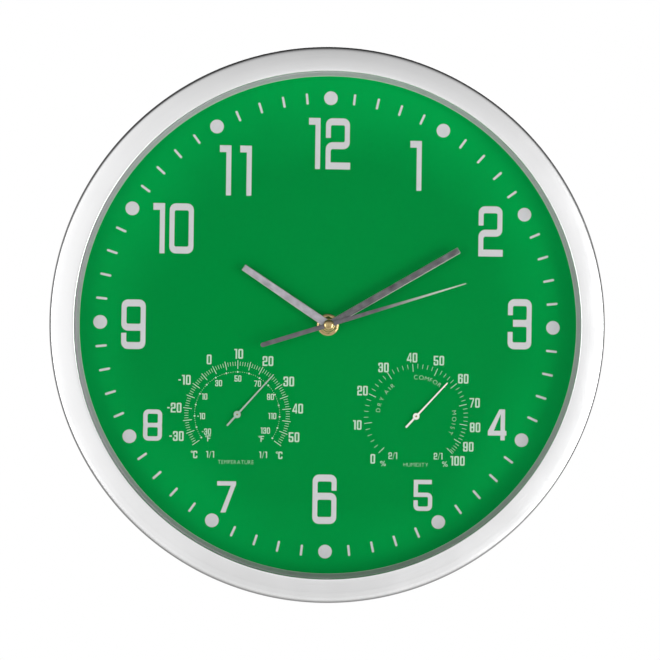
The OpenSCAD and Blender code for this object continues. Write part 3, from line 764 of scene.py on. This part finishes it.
words(t_ink, "TEMPERATURE", 2.7, 0.86, level(TX - 0.5, TY - 30.2, 2.7))
t_ink.build("thermometer_scale", M_PRINT2)

# hygrometer scale
HX, HY = 57.0, -57.6


def humid(h):
    left = 1 - h / 100
    return -135 + 270 * (1 - left ** (1.26 + 0.16 * left ** 3))


h_ink = Ink()
for i in range(51):
    a = radians(90 - humid(i * 2))
    r0, w = (28.4, 0.4) if i % 5 == 0 else (30.5, 0.25)
    r = (r0 + 33.4) / 2
    h_ink.bar(HX + r * cos(a), HY + r * sin(a), a, 33.4 - r0, w)
for text, x, y in (("0", -27.3, -27.4), ("10", -37.5, -5.9), ("20", -34.4, 16.0), ("30", -21.2, 30.9),
                   ("40", -3.0, 37.4), ("50", 14.2, 35.7), ("60", 30.0, 24.3), ("70", 37.5, 9.0),
                   ("80", 38.0, -6.7), ("90", 33.8, -19.1), ("100", 27.0, -28.2)):
    number(h_ink, text, HX + x, HY + y, 3.0, 6.1, 0.98, 0.9, 0.66)
for s in (-1, 1):
    number(h_ink, "2/1", HX + 14.5 * s, HY - 25.3, 2.2, 4.2, 0.62, 0.6, 0.4)
number(h_ink, "%", HX - 20.7, HY - 30.3, 3.2, 3.6, 0.5, 0.5, 0.2)
number(h_ink, "%", HX + 18.9, HY - 30.3, 3.2, 3.6, 0.5, 0.5, 0.2)
words(h_ink, "HUMIDITY", 2.6, 0.95, level(HX + 0.3, HY - 30.8, 2.6))
words(h_ink, "DRY AIR", 2.9, 1.0, curved(HX, HY, 23.2, -60), 0.5)
words(h_ink, "COMFORT", 2.9, 1.0, curved(HX, HY, 23.6, 21), 0.28)
words(h_ink, "MOIST", 2.9, 1.0, curved(HX, HY, 23.2, 99), 0.5)
h_ink.build("hygrometer_scale", M_PRINT2)


# ------------------------------------------------------------------ hands

def hand(name, outline, d, thick, angle, mats, bevel):
    """A flat hand with bevelled edges. outline is (across, along) pairs, anticlockwise, in mm;
    along runs from the axis to the tip. angle is clockwise from twelve."""
    a = radians(-angle)
    c, s = cos(a), sin(a)
    n = len(outline)
    inner = []
    for i in range(n):
        p, q, r = outline[i - 1], outline[i], outline[(i + 1) % n]
        d0, d1 = unit(p, q), unit(q, r)
        nx, ny = -d0[1] - d1[1], d0[0] + d1[0]
        k = nx * -d0[1] + ny * d0[0]
        inner.append((q[0] + nx * bevel / max(k, 0.4), q[1] + ny * bevel / max(k, 0.4)))
    rows = [(outline, d - thick), (outline, d - bevel * 0.7), (inner, d)]
    verts, uvs, faces, fm = [], [], [], []
    for pts, dd in rows:
        for x, y in pts:
            verts.append(at(c * x - s * y, s * x + c * y, dd))
            uvs.append((x * 0.1, y * 0.01))
    for k in range(2):
        for i in range(n):
            j = (i + 1) % n
            faces.append((k * n + i, k * n + j, (k + 1) * n + j, (k + 1) * n + i))
            fm.append(1 if k == 1 else 0)
    faces.append(tuple(range(2 * n, 3 * n)))
    fm.append(0)
    faces.append(tuple(range(n - 1, -1, -1)))
    fm.append(0)
    return mesh_object(name, verts, faces, mats, face_mats=fm, uvs=uvs)


def place_hand(ob, body, node_name):
    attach(ob, body)
    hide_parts(node_name)


def turned_ring(name, r_in, r_out, d0, d1, mat, body, round_off=0.35):
    """A turned collar or washer with a rounded outer shoulder."""
    q = min(round_off, d1 - d0 - 0.05)
    shoulder = [(r_out - q + q * cos(radians(a)), d1 - q + q * sin(radians(a))) for a in range(0, 91, 15)]
    ob = lathe(name, [(r_in, d0), (r_out, d0)] + shoulder + [(r_in, d1)], mat, seg=96)
    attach(ob, body)
    return ob


HOUR_A, MINUTE_A, SECOND_A = 303.5, 59.5, 72.5
hour = hand("hour_hand_blade", [(-2.65, 2.4), (2.65, 2.4), (2.15, 65.0), (-2.15, 65.0)],
            D_HOUR, 0.5, HOUR_A, [M_HOUR, M_EDGE], 0.25)
place_hand(hour, "hour_hand_set", "hour_hand")
turned_ring("hour_hand_collet", 2.62, 4.6, D_HOUR - 1.9, D_HOUR - 0.1, M_BRASS, "hour_hand_set",
            1.3)

minute = hand("minute_hand_blade", [(-2.3, 1.8), (2.3, 1.8), (2.05, 95.5), (-2.05, 95.5)],
              D_MINUTE, 0.5, MINUTE_A, [M_DARK, M_EDGE], 0.32)
place_hand(minute, "minute_hand_set", "minute_hand")
turned_ring("minute_hand_collet", 1.77, 3.2, D_MINUTE - 1.2, D_MINUTE - 0.05, M_DARK, "minute_hand_set")

tail = [(1.45 * cos(radians(a)), -43.55 + 1.45 * sin(radians(a))) for a in range(180, 361, 15)]
second = hand("second_hand_blade", tail + [(1.45, 6.0), (0.32, 91.0), (-0.32, 91.0), (-1.45, 6.0)],
              D_SECOND, 0.4, SECOND_A, [M_SECOND, M_SECOND], 0.12)
place_hand(second, "second_hand_set", "second_hand")

cap_top, cap_base = depth_of("second_cap"), depth_of("second_cap", False)
CAP_R = 3.35
cap = lathe("second_hand_cap", [(0.0, cap_base), (CAP_R - 0.2, cap_base), (CAP_R, cap_base + 0.15)] +
            [(CAP_R * cos(radians(a)), cap_base + 0.2 + (cap_top - cap_base - 0.2) * sin(radians(a)))
             for a in range(6, 91, 7)] + [(0.0, cap_top)], M_BRASS, seg=96, closed=False)
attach(cap, "second_hand_set")
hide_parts("second_cap")

# brass washer with turned rings, and the six-sided nut that holds the movement
w0, w1 = depth_of("brass_washer", False), depth_of("brass_washer")
washer = lathe("turned_washer", [(4.25, w0), (6.93, w0), (6.95, w0 + 0.03), (6.8, w0 + 0.15),
                                 (6.55, w0 + 0.27), (6.42, w0 + 0.26), (6.3, w0 + 0.34),
                                 (5.95, w1 - 0.01), (5.8, w1), (4.25, w1)], M_BRASS, seg=144)
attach(washer, "body")
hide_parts("brass_washer")

n0, n1 = depth_of("dial_nut", False), depth_of("dial_nut")
nut_verts, nut_faces, NUT_SEG = [], [], 96
NUT_FLAT = 5.8 * cos(radians(30))
levels = [(n0, 4.05, False), (n0, 9.0, True), (n1 - 1.15, 9.0, True), (n1 - 0.9, 5.6, True),
          (n1 - 0.4, 5.05, True), (n1, 4.5, True), (n1, 4.35, False), (n1 - 0.3, 4.05, False)]
for i in range(NUT_SEG):
    a = 2 * pi * i / NUT_SEG
    flat = NUT_FLAT / cos((a + pi / 6) % (pi / 3) - pi / 6)
    for d, r, outer in levels:
        q = min(r, flat) if outer else r
        nut_verts.append(at(q * cos(a), q * sin(a), d))
n = len(levels)
for i in range(NUT_SEG):
    j = (i + 1) % NUT_SEG
    for k in range(n):
        l = (k + 1) % n
        nut_faces.append((i * n + k, i * n + l, j * n + l, j * n + k))
nut = mesh_object("chamfered_nut", nut_verts, nut_faces, [M_BRASS])
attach(nut, "body")
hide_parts("dial_nut")


# ------------------------------------------------------------------ the back

# setting knob: a ribbed rim and a dished face
(k_lo, k_hi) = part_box("setting_knob")
KNOB_X, KNOB_Z = (k_lo[0] + k_hi[0]) / 2 / MM, (k_lo[2] + k_hi[2]) / 2 / MM + HANG
KNOB_R = (k_hi[0] - k_lo[0]) / 2 / MM
k_rear, k_front = -k_hi[1] / MM, -k_lo[1] / MM
KNOB_RIBS, KNOB_SEG = 24, 240
rows = [(0.0, k_front, 0), (1.4, k_front, 0), (1.4, k_rear + 1.5, 0), (KNOB_R - 0.3, k_rear + 1.5, 1),
        (KNOB_R, k_rear + 1.2, 1), (KNOB_R, k_rear + 0.3, 1), (KNOB_R - 0.3, k_rear, 1),
        (KNOB_R - 1.0, k_rear, 0), (KNOB_R - 1.3, k_rear + 0.35, 0), (0.0, k_rear + 0.45, 0)]
n = len(rows)
verts, faces = [], []
for i in range(KNOB_SEG):
    a = 2 * pi * i / KNOB_SEG
    dip = 0.16 * (1 - cos(KNOB_RIBS * a))
    for r, d, ribbed in rows:
        q = r - dip * ribbed
        verts.append(at(KNOB_X + q * cos(a), KNOB_Z + q * sin(a), d))
for i in range(KNOB_SEG):
    j = (i + 1) % KNOB_SEG
    for k in range(n - 1):
        faces.append((i * n + k, i * n + k + 1, j * n + k + 1, j * n + k))
knob = mesh_object("ribbed_setting_knob", verts, faces, [M_NAT])
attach(knob, "setting_set")
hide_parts("setting_knob")


# ------------------------------------------------------------------ studio

Z_FLOOR = -0.9
FLOOR_HALF = 1.45     # small enough that its far edge stays below the front view


def area(name, loc, target, size, power):
    li = bpy.data.lights.new(name, "AREA")
    li.shape = "RECTANGLE"
    li.size, li.size_y = size
    li.energy = power
    ob = bpy.data.objects.new(name, li)
    ob.location = loc
    ob.rotation_euler = (Vector(target) - Vector(loc)).to_track_quat("-Z", "Y").to_euler()
    ob.visible_camera = False
    scene.collection.objects.link(ob)
    return ob


MID = (0, -0.03, -HANG * MM)
area("softbox_left", (-1.0, -1.2, -0.25), MID, (0.5, 0.8), 4.2)
area("softbox_right", (1.1, -1.15, -0.4), MID, (0.7, 0.9), 8.5)
area("back_fill", (0.3, 1.4, 0.7), MID, (1.2, 1.2), 11.0)
area("floor_light", (0.1, 0, Z_FLOOR + 0.35), (0.1, 0, Z_FLOOR), (4.4, 4.4), 30.0)

world = bpy.data.worlds.new("studio")
scene.world = world
world.use_nodes = True
wt = world.node_tree
bg = wt.nodes["Background"]
tc = node(wt, "ShaderNodeTexCoord")
sep = node(wt, "ShaderNodeSeparateXYZ")
link(wt, tc.outputs["Generated"], sep.inputs[0])


def curve(fac, stops, top):
    """A brightness curve through (position, brightness) stops."""
    r = node(wt, "ShaderNodeValToRGB")
    el = r.color_ramp.elements
    el[1].position, el[1].color = 1.0, (stops[-1][1] / top,) * 3 + (1,)
    el[0].position, el[0].color = 0.0, (stops[0][1] / top,) * 3 + (1,)
    lo, hi = stops[0][0], stops[-1][0]
    for p, v in stops[1:-1]:
        e = el.new((p - lo) / (hi - lo))
        e.color = (v / top,) * 3 + (1,)
    link(wt, remap(wt, fac, 0.0, 1.0, lo, hi), r.inputs["Fac"])
    return r.outputs["Color"]


# the room in front: brightness round the front view by clock direction (1 is up), and a dim ceiling
ROUND = [(-1.0, 0.52), (-0.87, 0.63), (-0.5, 0.83), (0.0, 0.94), (0.5, 0.85), (0.87, 0.70), (1.0, 0.50)]
CEILING = [(-1.0, 1.0), (0.31, 1.0), (0.45, 0.50), (0.7, 0.22), (1.0, 0.12)]
ROOM_MAX = 1.5
across = maths(wt, "MULTIPLY", sep.outputs["X"], sep.outputs["X"])
upward = maths(wt, "MULTIPLY", sep.outputs["Z"], sep.outputs["Z"])
away = maths(wt, "SQRT", maths(wt, "ADD", across, upward))
clock_dir = maths(wt, "DIVIDE", sep.outputs["Z"], maths(wt, "ADD", away, 0.03))
room = maths(wt, "MULTIPLY", curve(clock_dir, ROUND, ROOM_MAX), curve(sep.outputs["Z"], CEILING, 1.0))
side = remap(wt, sep.outputs["X"], 1.20 * ROOM_MAX, 0.98 * ROOM_MAX, -0.35, 0.35)
room = maths(wt, "MULTIPLY", room, side)
# dimmer beyond what the bezel's face reflects to the camera
wings = remap(wt, maths(wt, "ABSOLUTE", sep.outputs["X"]), 1.0, 0.6, 0.38, 0.7)
room = maths(wt, "MULTIPLY", room, wings)
room = maths(wt, "MULTIPLY", room, remap(wt, away, 0.2, 1.0, 0.02, 0.06))
behind = remap(wt, sep.outputs["Y"], 0.0, 1.0, 0.1, 0.7)
mixw = node(wt, "ShaderNodeMix", data_type="FLOAT")
link(wt, behind, mixw.inputs[0])
link(wt, room, mixw.inputs[2])
link(wt, curve(sep.outputs["Z"], CEILING, 1.0), mixw.inputs[3])
link(wt, mixw.outputs[0], bg.inputs["Color"])
value(bg, "Strength", 1.0)

floor_mat = finish("pale_floor", (0.86, 0.86, 0.85), 0.7, spec=0.2, vary=0.015, grain=60, bumps=0.02)
floor = mesh_object("floor", [(x * FLOOR_HALF, y * FLOOR_HALF, Z_FLOOR) for x, y in
                              ((-1, -1), (1, -1), (1, 1), (-1, 1))], [(0, 1, 2, 3)], [floor_mat])

cam_data = bpy.data.cameras.new("camera")
cam = bpy.data.objects.new("camera", cam_data)
scene.collection.objects.link(cam)
cam_data.sensor_width = 36
cam_data.lens = 104.3
cam_data.clip_start = 0.01
DIST = 1.2            # metres from the bezel's face
ROLL = radians(0.75)
IMAGE = 660           # pixels across the frame
left = radians(3.0)   # the camera stands a little to the left
target = Vector((0, -D_FRONT * MM, -HANG * MM))
cam.location = target + Vector((-DIST * sin(left), -DIST * cos(left), 0))
look = (target - cam.location).to_track_quat("-Z", "Y")
cam.rotation_euler = (look.to_matrix() @ Matrix.Rotation(ROLL, 3, "Z")).to_euler()
cam_data.shift_x = 0.6 / IMAGE
cam_data.shift_y = -5.1 / IMAGE
scene.camera = cam
scene.view_settings.view_transform = "Standard"
